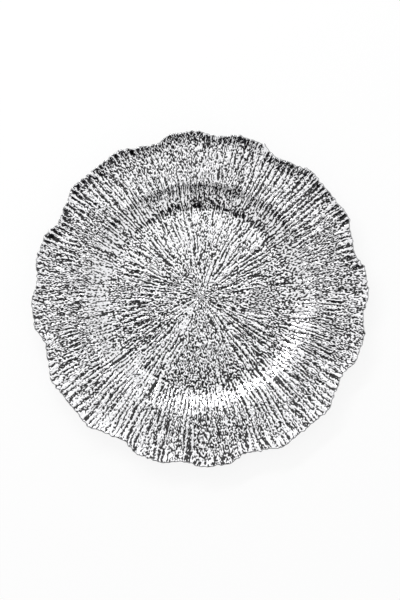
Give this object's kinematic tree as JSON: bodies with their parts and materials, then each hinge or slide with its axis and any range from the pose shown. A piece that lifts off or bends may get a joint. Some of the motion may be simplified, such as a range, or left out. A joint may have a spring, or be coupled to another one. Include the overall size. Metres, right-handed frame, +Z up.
{
  "type": "decorative charger plate",
  "caption": "Round decorative plate with a lobed, wavy rim, a shallow flat well and a silver face embossed with ridges that fan out from the centre.",
  "frame": {"origin": "centre of the foot ring, on the surface that the plate stands on", "axes": "+Z up out of the well, +X to the right and +Y to the far side of the plate as pictured"},
  "size_m": [0.3274, 0.3274, 0.0198],
  "materials": {
    "plate_plastic": "pale grey moulded plastic with a smooth satin gloss",
    "metallised_silver": "metallised silver on embossed ridges, with fine dark pits that gather in the grooves"
  },
  "bodies": {
    "root": {"moulded_plate": "plate_plastic", "silver_face": "metallised_silver"}
  },
  "joints": []
}
